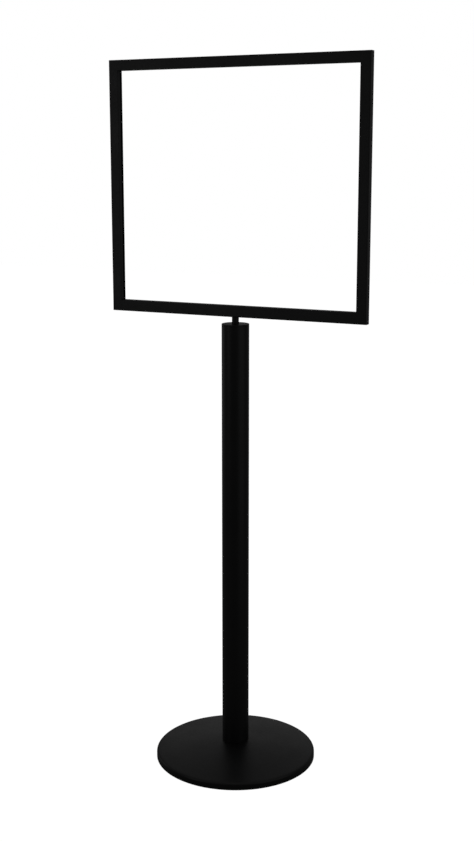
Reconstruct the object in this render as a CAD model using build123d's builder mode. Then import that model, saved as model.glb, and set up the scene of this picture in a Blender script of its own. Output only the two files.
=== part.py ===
from build123d import *
import os

# Sign stand: a domed round base, a tubular post and an open, landscape sign frame that swivels
# on a short stem. Sizes are in millimetres. The origin is on the floor under the post's axis,
# +Z is up, and the frame lies in the XZ plane with its front towards -Y.

# ---- Driving dimensions: floor base ------------------------------------------------------
base_diameter = 384.0
base_rim_height = 16.5           # skirt of the cover, up to the corner where the dome starts
base_dome_rise = 24.5            # from that corner up to the post's seat
base_dome_bulge = 2.5            # dome above a straight cone, halfway up
base_sheet = 2.0                 # wall of the pressed cover
base_rim_radius = 6.0            # outside radius of the cover's rim
base_seat_margin = 1.0           # flat seat on the cover, beyond the post
base_weight_thickness = 12.0
base_weight_clearance = 0.5      # radial, cast weight inside the cover's skirt
base_weight_top_chamfer = 3.0
base_weight_boss_margin = 0.5    # boss inside the edge of the cover's flat seat
base_weight_boss_root = 8.0      # fillet where the boss meets the disc
floor_ring_inset = 22.0          # ring's middle line, inside the edge of the base
floor_ring_width = 12.0
floor_ring_groove_depth = 3.0
floor_ring_standoff = 1.0        # how far the ring holds the base off the floor
floor_ring_edge_radius = 1.0
floor_ring_clearance = 0.1       # each side of the ring in its groove

# ---- Driving dimensions: bolt that holds the post to the base ----------------------------
base_bolt_diameter = 12.0
base_bolt_head_diameter = 18.0
base_bolt_head_height = 5.5
base_bolt_socket_flats = 8.0
base_bolt_socket_depth = 3.5
base_bolt_recess = 0.8           # head above the underside of the cast weight
base_bolt_tip_setback = 2.0      # bolt's tip below the top of the foot plug
base_bolt_tip_chamfer = 1.0
flat_washer_diameter = 30.0
flat_washer_thickness = 2.0
lock_washer_diameter = 21.0
lock_washer_thickness = 2.2
lock_washer_split = 2.0
counterbore_clearance = 2.0      # radial, around the flat washer
bolt_hole_clearance = 0.25       # radial, bolt in plain holes and washers
thread_gap = 0.05                # radial, between a thread and its tapped hole

# ---- Driving dimensions: post ------------------------------------------------------------
post_diameter = 63.5
post_wall = 2.0
post_tube_length = 1014.0
foot_plug_thickness = 20.0
foot_plug_lead_chamfer = 1.5
post_plug_gap = 0.05             # radial, plug and cap spigot in the tube

# ---- Driving dimensions: cap and swivel --------------------------------------------------
cap_flange_thickness = 4.0
cap_edge_radius = 0.8
cap_spigot_length = 20.0
cap_spigot_wall = 4.0
cap_boss_wall = 6.0              # around the bush
cap_boss_length = 22.0           # below the flange
stem_diameter = 16.0
stem_gap = 15.5                  # visible stem between the cap and the frame
stem_entry_depth = 3.0           # how far the stem's full diameter drops into the cap
stem_entry_clearance = 0.3       # radial, around the stem in the cap's mouth
stem_edge_chamfer = 0.4
stem_shoulder_width = 2.0        # radial step from the stem down to its shank
stem_running_clearance = 0.05    # radial, shank in the bush
stem_thread_allowance = 2.0      # shank left below the lock nut
bush_wall = 1.5
bush_press_gap = 0.02
thrust_washer_thickness = 1.0
thrust_washer_edge_gap = 0.15    # radial, washer in the cap's mouth
spring_washer_diameter = 24.0
spring_washer_thickness = 1.2
spring_washer_cone_height = 0.8
backing_washer_diameter = 24.0
backing_washer_thickness = 1.5
washer_bore_clearance = 0.1      # radial, washers on the shank
lock_nut_wall = 3.5              # from the thread to each flat
lock_nut_height = 9.0
lock_nut_collar_height = 3.0
lock_nut_collar_wall = 2.4
nut_insert_height = 2.0
nut_insert_wall = 1.4

# ---- Driving dimensions: sign frame ------------------------------------------------------
frame_width = 646.0
frame_height = 578.0
rail_width = 24.0                # top, left and right rails, seen from the front
bottom_rail_height = 26.0
rail_depth = 19.0                # front to back
rail_wall = 2.0
rail_outer_edge_radius = 2.0
rail_inner_edge_radius = 0.8
key_channel_width = 9.0          # closed hollow beside the outer wall, takes the corner keys
sign_groove_width = 7.0          # front to back, takes the sign board
sign_groove_depth = 10.0
sign_groove_rear_lip = 2.0
key_leg_length = 45.0
key_clearance = 0.1
key_screw_setback = 30.0         # from the frame's outer corner
grub_screw_diameter = 5.0
grub_screw_length = 8.0
grub_screw_recess = 0.3
grub_screw_hole_clearance = 0.1
grub_screw_socket_flats = 2.5
grub_screw_socket_depth = 2.5
stem_spigot_diameter = 10.0
stem_spigot_hole_clearance = 0.2
nut_plate_length = 44.0
nut_plate_clearance = 0.1
spigot_tip_setback = 0.6         # spigot's tip below the top of the nut plate

# ---- Heights, from the floor up ----------------------------------------------------------
base_bottom_z = floor_ring_standoff
base_rim_z = base_bottom_z + base_rim_height
base_top_z = base_rim_z + base_dome_rise
weight_disc_top_z = base_bottom_z + base_weight_thickness
weight_boss_top_z = base_top_z - base_sheet
tube_top_z = base_top_z + post_tube_length
cap_top_z = tube_top_z + cap_flange_thickness
boss_bottom_z = tube_top_z - cap_boss_length
shoulder_z = cap_top_z - stem_entry_depth
bush_top_z = shoulder_z - thrust_washer_thickness
frame_bottom_z = cap_top_z + stem_gap
frame_top_z = frame_bottom_z + frame_height

bolt_head_bottom_z = base_bottom_z + base_bolt_recess
lock_washer_z = bolt_head_bottom_z + base_bolt_head_height
flat_washer_z = lock_washer_z + lock_washer_thickness
counterbore_top_z = flat_washer_z + flat_washer_thickness
bolt_tip_z = base_top_z + foot_plug_thickness - base_bolt_tip_setback

spring_washer_z = boss_bottom_z - spring_washer_thickness - spring_washer_cone_height
backing_washer_z = spring_washer_z - backing_washer_thickness
lock_nut_z = backing_washer_z - lock_nut_height - lock_nut_collar_height
stem_tip_z = lock_nut_z - stem_thread_allowance

# ---- Radii and sections worked out from the driving dimensions ---------------------------
post_radius = post_diameter / 2
tube_bore_radius = post_radius - post_wall
base_radius = base_diameter / 2
base_seat_radius = post_radius + base_seat_margin
weight_boss_radius = base_seat_radius - base_weight_boss_margin
ring_mean_radius = base_radius - floor_ring_inset
base_bolt_radius = base_bolt_diameter / 2
plain_bolt_hole_radius = base_bolt_radius + bolt_hole_clearance
stem_radius = stem_diameter / 2
shank_radius = stem_radius - stem_shoulder_width
bush_bore_radius = shank_radius + stem_running_clearance
bush_outer_radius = bush_bore_radius + bush_wall
cap_mouth_radius = stem_radius + stem_entry_clearance
spigot_radius = stem_spigot_diameter / 2
grub_radius = grub_screw_diameter / 2

frame_half_width = frame_width / 2
opening_half_width = frame_half_width - rail_width
opening_bottom_z = frame_bottom_z + bottom_rail_height
opening_top_z = frame_top_z - rail_width
opening_mid_z = (opening_bottom_z + opening_top_z) / 2
opening_height = opening_top_z - opening_bottom_z
frame_mid_z = (frame_bottom_z + frame_top_z) / 2
frame_back_y = rail_depth / 2
channel_depth = rail_depth - 2 * rail_wall
groove_mid_y = frame_back_y - sign_groove_rear_lip - sign_groove_width / 2
channel_floor_z = frame_bottom_z + rail_wall
key_line_inset = rail_wall + key_channel_width / 2

os.makedirs("parts", exist_ok=True)


def keep(piece, label):
    """Label one finished sub-part and write it to its own file."""
    piece.part.label = label
    export_step(piece.part, f"parts/{label}.step")


def flat_ring(outer_radius, inner_radius, bottom_z, thickness):
    """A plain ring about the post's axis, standing on bottom_z."""
    with BuildPart() as ring:
        with BuildSketch(Plane.XY.offset(bottom_z)):
            Circle(outer_radius)
            Circle(inner_radius, mode=Mode.SUBTRACT)
        extrude(amount=thickness)
    return ring


# ---- Floor base --------------------------------------------------------------------------
def domed_disc(radius, corner_z, seat_z, rim_radius):
    """A solid disc standing on the base's underside, with a rounded rim and a domed top that ends in
    a flat seat for the post."""
    with BuildPart() as disc:
        with BuildSketch(Plane.XZ) as section:
            with BuildLine():
                Polyline((0, seat_z), (0, base_bottom_z), (radius, base_bottom_z), (radius, corner_z))
                SagittaArc((radius, corner_z), (base_seat_radius, seat_z), -base_dome_bulge)
                Line((base_seat_radius, seat_z), (0, seat_z))
            make_face()
            rim_corner = section.vertices().sort_by_distance((radius, corner_z))[0]
            fillet(rim_corner, radius=rim_radius)
        revolve(axis=Axis.Z)
    return disc


with BuildPart() as base_cover:
    add(domed_disc(base_radius, base_rim_z, base_top_z, base_rim_radius))
    # The hollow under the pressed sheet
    add(
        domed_disc(
            base_radius - base_sheet,
            base_rim_z - base_sheet,
            base_top_z - base_sheet,
            base_rim_radius - base_sheet,
        ),
        mode=Mode.SUBTRACT,
    )
    # Plain hole for the bolt
    with BuildSketch(Plane.XY.offset(base_top_z - base_sheet)):
        Circle(plain_bolt_hole_radius)
    extrude(amount=base_sheet, mode=Mode.SUBTRACT)
keep(base_cover, "base_cover")

with BuildPart() as base_weight:
    with BuildSketch(Plane.XY.offset(base_bottom_z)):
        Circle(base_radius - base_sheet - base_weight_clearance)
    extrude(amount=base_weight_thickness)
    chamfer(base_weight.edges().filter_by(GeomType.CIRCLE).sort_by(Axis.Z)[-1], length=base_weight_top_chamfer)
    # Boss that carries the cover's seat and the post above it
    with BuildSketch(Plane.XY.offset(weight_disc_top_z)):
        Circle(weight_boss_radius)
    extrude(amount=weight_boss_top_z - weight_disc_top_z)
    boss_foot = base_weight.edges().sort_by_distance((0, weight_boss_radius, weight_disc_top_z))[0]
    fillet(boss_foot, radius=base_weight_boss_root)
    # Recess under the weight for the bolt's head and washers
    with BuildSketch(Plane.XY.offset(base_bottom_z)):
        Circle(flat_washer_diameter / 2 + counterbore_clearance)
    extrude(amount=counterbore_top_z - base_bottom_z, mode=Mode.SUBTRACT)
    # Plain hole for the bolt
    with BuildSketch(Plane.XY.offset(counterbore_top_z)):
        Circle(plain_bolt_hole_radius)
    extrude(amount=weight_boss_top_z - counterbore_top_z, mode=Mode.SUBTRACT)
    # Groove for the floor ring
    with BuildSketch(Plane.XY.offset(base_bottom_z)):
        Circle(ring_mean_radius + floor_ring_width / 2)
        Circle(ring_mean_radius - floor_ring_width / 2, mode=Mode.SUBTRACT)
    extrude(amount=floor_ring_groove_depth, mode=Mode.SUBTRACT)
keep(base_weight, "base_weight")

with BuildPart() as floor_ring:
    with BuildSketch(Plane.XY):
        Circle(ring_mean_radius + floor_ring_width / 2 - floor_ring_clearance)
        Circle(ring_mean_radius - floor_ring_width / 2 + floor_ring_clearance, mode=Mode.SUBTRACT)
    extrude(amount=floor_ring_standoff + floor_ring_groove_depth)
    fillet(floor_ring.edges().filter_by(GeomType.CIRCLE).group_by(Axis.Z)[0], radius=floor_ring_edge_radius)
keep(floor_ring, "floor_ring")

with BuildPart() as base_bolt:
    with BuildSketch(Plane.XY.offset(bolt_head_bottom_z)):
        Circle(base_bolt_head_diameter / 2)
    extrude(amount=base_bolt_head_height)
    with BuildSketch(Plane.XY.offset(lock_washer_z)):
        Circle(base_bolt_radius)
    extrude(amount=bolt_tip_z - lock_washer_z)
    chamfer(base_bolt.edges().filter_by(GeomType.CIRCLE).sort_by(Axis.Z)[-1], length=base_bolt_tip_chamfer)
    with BuildSketch(Plane.XY.offset(bolt_head_bottom_z)):
        RegularPolygon(base_bolt_socket_flats / 2, 6, major_radius=False)
    extrude(amount=base_bolt_socket_depth, mode=Mode.SUBTRACT)
keep(base_bolt, "base_bolt")

base_flat_washer = flat_ring(flat_washer_diameter / 2, plain_bolt_hole_radius, flat_washer_z, flat_washer_thickness)
keep(base_flat_washer, "base_flat_washer")

with BuildPart() as base_lock_washer:
    with BuildSketch(Plane.XY.offset(lock_washer_z)):
        Circle(lock_washer_diameter / 2)
        Circle(plain_bolt_hole_radius, mode=Mode.SUBTRACT)
        # The split that makes the ring springy
        with Locations((lock_washer_diameter / 4, 0)):
            Rectangle(lock_washer_diameter / 2, lock_washer_split, mode=Mode.SUBTRACT)
    extrude(amount=lock_washer_thickness)
keep(base_lock_washer, "base_lock_washer")

# ---- Post --------------------------------------------------------------------------------
post_tube = flat_ring(post_radius, tube_bore_radius, base_top_z, post_tube_length)
keep(post_tube, "post_tube")

with BuildPart() as post_foot_plug:
    with BuildSketch(Plane.XY.offset(base_top_z)):
        Circle(tube_bore_radius - post_plug_gap)
    extrude(amount=foot_plug_thickness)
    plug_top_edge = post_foot_plug.edges().filter_by(GeomType.CIRCLE).sort_by(Axis.Z)[-1]
    chamfer(plug_top_edge, length=foot_plug_lead_chamfer)
    # Tapped hole for the base bolt
    with BuildSketch(Plane.XY.offset(base_top_z)):
        Circle(base_bolt_radius + thread_gap)
    extrude(amount=foot_plug_thickness, mode=Mode.SUBTRACT)
keep(post_foot_plug, "post_foot_plug")

cap_spigot_radius = tube_bore_radius - post_plug_gap

with BuildPart() as post_top_cap:
    with BuildSketch(Plane.XY.offset(tube_top_z)):
        Circle(post_radius)
    extrude(amount=cap_flange_thickness)
    fillet(post_top_cap.edges().filter_by(GeomType.CIRCLE).sort_by(Axis.Z)[-1], radius=cap_edge_radius)
    # Spigot that locates the cap in the tube
    with BuildSketch(Plane.XY.offset(tube_top_z - cap_spigot_length)):
        Circle(cap_spigot_radius)
        Circle(cap_spigot_radius - cap_spigot_wall, mode=Mode.SUBTRACT)
    extrude(amount=cap_spigot_length)
    # Boss that carries the swivel bush
    with BuildSketch(Plane.XY.offset(boss_bottom_z)):
        Circle(bush_outer_radius + cap_boss_wall)
    extrude(amount=cap_boss_length)
    # Bore for the bush
    with BuildSketch(Plane.XY.offset(boss_bottom_z)):
        Circle(bush_outer_radius + bush_press_gap)
    extrude(amount=bush_top_z - boss_bottom_z, mode=Mode.SUBTRACT)
    # Wider mouth that the stem drops into
    with BuildSketch(Plane.XY.offset(bush_top_z)):
        Circle(cap_mouth_radius)
    extrude(amount=cap_top_z - bush_top_z, mode=Mode.SUBTRACT)
keep(post_top_cap, "post_top_cap")

# ---- Swivel ------------------------------------------------------------------------------
swivel_bush = flat_ring(bush_outer_radius, bush_bore_radius, boss_bottom_z, bush_top_z - boss_bottom_z)
keep(swivel_bush, "swivel_bush")

thrust_washer = flat_ring(
    cap_mouth_radius - thrust_washer_edge_gap,
    shank_radius + washer_bore_clearance,
    bush_top_z,
    thrust_washer_thickness,
)
keep(thrust_washer, "thrust_washer")

with BuildPart() as stem:
    with BuildSketch(Plane.XY.offset(shoulder_z)):
        Circle(stem_radius)
    extrude(amount=frame_bottom_z - shoulder_z)
    chamfer(stem.edges().filter_by(GeomType.CIRCLE).sort_by(Axis.Z)[-1], length=stem_edge_chamfer)
    # Shank that turns in the bush, threaded at its foot
    with BuildSketch(Plane.XY.offset(stem_tip_z)):
        Circle(shank_radius)
    extrude(amount=shoulder_z - stem_tip_z)
    chamfer(stem.edges().filter_by(GeomType.CIRCLE).sort_by(Axis.Z)[0], length=base_bolt_tip_chamfer)
    # Threaded spigot that screws into the plate inside the bottom rail
    with BuildSketch(Plane.XY.offset(frame_bottom_z)):
        Circle(spigot_radius)
    extrude(amount=rail_wall + key_channel_width - 2 * nut_plate_clearance - spigot_tip_setback)
keep(stem, "stem")

with BuildPart() as spring_washer:
    # Dished ring: a sloping section turned about the post's axis
    with BuildSketch(Plane.XZ):
        with BuildLine():
            Polyline(
                (shank_radius + washer_bore_clearance, spring_washer_z + spring_washer_cone_height),
                (spring_washer_diameter / 2, spring_washer_z),
                (spring_washer_diameter / 2, spring_washer_z + spring_washer_thickness),
                (shank_radius + washer_bore_clearance, boss_bottom_z),
                close=True,
            )
        make_face()
    revolve(axis=Axis.Z)
keep(spring_washer, "spring_washer")

backing_washer = flat_ring(
    backing_washer_diameter / 2,
    shank_radius + washer_bore_clearance,
    backing_washer_z,
    backing_washer_thickness,
)
keep(backing_washer, "backing_washer")

nut_collar_radius = shank_radius + thread_gap + lock_nut_collar_wall

with BuildPart() as stem_lock_nut:
    with BuildSketch(Plane.XY.offset(lock_nut_z + lock_nut_collar_height)):
        RegularPolygon(shank_radius + lock_nut_wall, 6, major_radius=False)
    extrude(amount=lock_nut_height)
    # Round collar below the flats holds the insert
    with BuildSketch(Plane.XY.offset(lock_nut_z)):
        Circle(nut_collar_radius)
    extrude(amount=lock_nut_collar_height)
    with BuildSketch(Plane.XY.offset(lock_nut_z)):
        Circle(shank_radius + thread_gap)
    extrude(amount=lock_nut_collar_height + lock_nut_height, mode=Mode.SUBTRACT)
    with BuildSketch(Plane.XY.offset(lock_nut_z)):
        Circle(shank_radius + thread_gap + nut_insert_wall)
    extrude(amount=nut_insert_height, mode=Mode.SUBTRACT)
keep(stem_lock_nut, "stem_lock_nut")

lock_nut_insert = flat_ring(
    shank_radius + thread_gap + nut_insert_wall,
    shank_radius + thread_gap,
    lock_nut_z,
    nut_insert_height,
)
keep(lock_nut_insert, "lock_nut_insert")

# ---- Sign frame --------------------------------------------------------------------------
frame_corners = {
    "top_left": (-1, frame_top_z, -1),
    "top_right": (1, frame_top_z, -1),
    "bottom_left": (-1, frame_bottom_z, 1),
    "bottom_right": (1, frame_bottom_z, 1),
}


def key_screw_points(corner_name):
    """The two screw centres (x, z) of one corner key: one on its level leg, one on its upright leg."""
    side, corner_z, inward = frame_corners[corner_name]
    corner_x = side * frame_half_width
    level_leg = (corner_x - side * key_screw_setback, corner_z + inward * key_line_inset)
    upright_leg = (corner_x - side * key_line_inset, corner_z + inward * key_screw_setback)
    return [level_leg, upright_leg]


all_screw_points = [point for name in frame_corners for point in key_screw_points(name)]


def mitred_rail(outline, long_axis, has_stem_hole=False):
    """One rail of the frame: a mitred bar with a groove for the sign and a closed hollow for the keys.

    outline is the rail's four (x, z) corners and long_axis runs along it."""
    with BuildPart() as rail:
        with BuildSketch(Plane.XZ):
            with BuildLine():
                Polyline(*outline, close=True)
            make_face()
        extrude(amount=rail_depth / 2, both=True)
        # A mitred bar is longest along its outer edges and shortest along its inner ones
        outer_edges = rail.edges().filter_by(long_axis).sort_by(SortBy.LENGTH)[-2:]
        fillet(outer_edges, radius=rail_outer_edge_radius)
        inner_edges = rail.edges().filter_by(long_axis).sort_by(SortBy.LENGTH)[:2]
        fillet(inner_edges, radius=rail_inner_edge_radius)
        # Sign groove: the part of the board's pocket that falls in this rail
        with BuildSketch(Plane.XZ.offset(-groove_mid_y)):
            with Locations((0, opening_mid_z)):
                Rectangle(2 * (opening_half_width + sign_groove_depth), opening_height + 2 * sign_groove_depth)
        extrude(amount=sign_groove_width / 2, both=True, mode=Mode.SUBTRACT)
        # Key channel: a closed hollow that runs all round the frame
        with BuildSketch(Plane.XZ):
            with Locations((0, frame_mid_z)):
                Rectangle(frame_width - 2 * rail_wall, frame_height - 2 * rail_wall)
                Rectangle(
                    frame_width - 2 * (rail_wall + key_channel_width),
                    frame_height - 2 * (rail_wall + key_channel_width),
                    mode=Mode.SUBTRACT,
                )
        extrude(amount=channel_depth / 2, both=True, mode=Mode.SUBTRACT)
        # Plain holes through the back wall for the keys' screws
        with BuildSketch(Plane.XZ.offset(rail_wall - frame_back_y)):
            with Locations(*all_screw_points):
                Circle(grub_radius + grub_screw_hole_clearance)
        extrude(amount=-rail_wall, mode=Mode.SUBTRACT)
        if has_stem_hole:
            with BuildSketch(Plane.XY.offset(frame_bottom_z)):
                Circle(spigot_radius + stem_spigot_hole_clearance)
            extrude(amount=rail_wall, mode=Mode.SUBTRACT)
    return rail


frame_left_rail = mitred_rail(
    [
        (-frame_half_width, frame_bottom_z),
        (-frame_half_width, frame_top_z),
        (-opening_half_width, opening_top_z),
        (-opening_half_width, opening_bottom_z),
    ],
    Axis.Z,
)
keep(frame_left_rail, "frame_left_rail")

frame_right_rail = mitred_rail(
    [
        (frame_half_width, frame_bottom_z),
        (frame_half_width, frame_top_z),
        (opening_half_width, opening_top_z),
        (opening_half_width, opening_bottom_z),
    ],
    Axis.Z,
)
keep(frame_right_rail, "frame_right_rail")

frame_top_rail = mitred_rail(
    [
        (-frame_half_width, frame_top_z),
        (frame_half_width, frame_top_z),
        (opening_half_width, opening_top_z),
        (-opening_half_width, opening_top_z),
    ],
    Axis.X,
)
keep(frame_top_rail, "frame_top_rail")

frame_bottom_rail = mitred_rail(
    [
        (-frame_half_width, frame_bottom_z),
        (frame_half_width, frame_bottom_z),
        (opening_half_width, opening_bottom_z),
        (-opening_half_width, opening_bottom_z),
    ],
    Axis.X,
    has_stem_hole=True,
)
keep(frame_bottom_rail, "frame_bottom_rail")

# The screws draw the keys back against the rails' back wall
key_depth = channel_depth - key_clearance
key_back_y = frame_back_y - rail_wall

for corner, (side, corner_z, inward) in frame_corners.items():
    outer_x = side * (frame_half_width - rail_wall - key_clearance)
    outer_z = corner_z + inward * (rail_wall + key_clearance)
    key_bar = key_channel_width - 2 * key_clearance
    with BuildPart() as corner_key:
        # L-shaped bar, one leg in each of the two rails that meet here
        with BuildSketch(Plane.XZ.offset(-key_back_y)):
            with BuildLine():
                Polyline(
                    (outer_x, outer_z),
                    (outer_x - side * key_leg_length, outer_z),
                    (outer_x - side * key_leg_length, outer_z + inward * key_bar),
                    (outer_x - side * key_bar, outer_z + inward * key_bar),
                    (outer_x - side * key_bar, outer_z + inward * key_leg_length),
                    (outer_x, outer_z + inward * key_leg_length),
                    close=True,
                )
            make_face()
        extrude(amount=key_depth)
        # Tapped holes for the two screws
        with BuildSketch(Plane.XZ.offset(-key_back_y)):
            with Locations(*key_screw_points(corner)):
                Circle(grub_radius + thread_gap)
        extrude(amount=key_depth, mode=Mode.SUBTRACT)
    keep(corner_key, f"corner_key_{corner}")

with BuildPart() as corner_grub_screws:
    with BuildSketch(Plane.XZ.offset(grub_screw_recess - frame_back_y)):
        with Locations(*all_screw_points):
            Circle(grub_radius)
    extrude(amount=grub_screw_length)
    with BuildSketch(Plane.XZ.offset(grub_screw_recess - frame_back_y)):
        with Locations(*all_screw_points):
            RegularPolygon(grub_screw_socket_flats / 2, 6, major_radius=False)
    extrude(amount=grub_screw_socket_depth, mode=Mode.SUBTRACT)
keep(corner_grub_screws, "corner_grub_screws")

# Threaded plate inside the bottom rail that the stem screws into
with BuildPart() as rail_nut_plate:
    with BuildSketch(Plane.XY.offset(channel_floor_z)):
        Rectangle(nut_plate_length, channel_depth - 2 * nut_plate_clearance)
        Circle(spigot_radius + thread_gap, mode=Mode.SUBTRACT)
    extrude(amount=key_channel_width - 2 * nut_plate_clearance)
keep(rail_nut_plate, "rail_nut_plate")
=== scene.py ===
import math

import bmesh
import bpy
from bpy.props import FloatProperty, FloatVectorProperty, IntProperty, PointerProperty
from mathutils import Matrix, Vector


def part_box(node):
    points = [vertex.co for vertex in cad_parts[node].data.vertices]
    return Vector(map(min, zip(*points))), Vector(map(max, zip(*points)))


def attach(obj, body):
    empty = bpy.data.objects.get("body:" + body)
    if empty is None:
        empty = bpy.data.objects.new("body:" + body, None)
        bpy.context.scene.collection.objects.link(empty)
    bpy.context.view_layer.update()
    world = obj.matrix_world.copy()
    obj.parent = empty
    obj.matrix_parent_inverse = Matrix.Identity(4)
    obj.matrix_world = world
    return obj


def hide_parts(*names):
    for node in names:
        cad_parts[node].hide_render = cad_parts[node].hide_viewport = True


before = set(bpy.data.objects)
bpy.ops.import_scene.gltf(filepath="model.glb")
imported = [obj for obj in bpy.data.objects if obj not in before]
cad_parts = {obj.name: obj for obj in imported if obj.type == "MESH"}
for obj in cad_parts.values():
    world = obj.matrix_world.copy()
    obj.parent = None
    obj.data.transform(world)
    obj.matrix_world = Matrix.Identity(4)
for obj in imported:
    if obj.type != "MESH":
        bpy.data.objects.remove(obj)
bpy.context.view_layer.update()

bl_info = {
    "name": "Sign stand",
    "version": (1, 0, 0),
    "blender": (4, 5, 0),
    "location": "3D View > Sidebar > Sign stand",
    "description": "Finishes a floor-standing sign holder around its packed frame and sets up its studio",
    "category": "Object",
}

MM = 0.001

# How the meshes are made
MERGE = 0.002 * MM                    # points nearer than this are one point
SHARP_ANGLE = math.radians(35)        # edges that turn more than this stay sharp
FLAT_ANGLE = math.radians(0.5)        # faces that turn less than this are one face
DOME_STEPS = 16
ROUND_SEGMENTS = 6                    # in each rounded corner of a turned piece
SCREW_STEPS = 32

# Depth and pitch of the metric threads
M12_THREAD = (1.0 * MM, 1.75 * MM)
M10_THREAD = (0.9 * MM, 1.5 * MM)
M5_THREAD = (0.4 * MM, 0.8 * MM)

# Radial room between pieces that fit on the stem's shank or in the cap
RUNNING_ROOM = 0.05 * MM
WASHER_ROOM = 0.1 * MM
PRESS_ROOM = 0.02 * MM

# The floor's own grey, under the light that it gives off
FLOOR_GREY = "808080"

# Where the panels point, in metres
PANEL_AIM = (0, 0, 0.9)

# How bright the studio's walls are, from straight down (-1) through the horizon (0) to straight up (1)
SURROUND = (
    (-0.95, 0.02), (-0.5, 0.035), (-0.2, 0.058), (0.02, 0.065),
    (0.3, 0.05), (0.6, 0.105), (0.95, 0.15),
)

# The soft panels: name, place in metres, width in metres and power in watts
PANELS = (
    ("right_panel", (3.1, -0.6, 1.2), 3.2, 3.2),
    ("left_panel", (-3.2, 0.2, 0.8), 1.4, 1.0),
    ("front_panel", (-2.2, -3.6, 1.4), 1.8, 2.5),
    ("rear_panel", (-1.3, 2.8, 1.2), 2.4, 1.6),
    ("rear_right_panel", (1.6, 3.4, 1.4), 1.2, 0.3),
)


def linear(hex_colour):
    """An sRGB hex colour, such as 1a1a1b, as linear red, green and blue with full alpha."""
    channels = [int(hex_colour[i:i + 2], 16) / 255 for i in (0, 2, 4)]
    return tuple(c / 12.92 if c <= 0.04045 else ((c + 0.055) / 1.055) ** 2.4 for c in channels) + (1.0,)


def top_radius(node):
    """The outer radius of a round node that stands on the post's axis."""
    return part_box(node)[1].x


# ---- Sizes and colours that a user would change ----------------------------------------------

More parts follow.
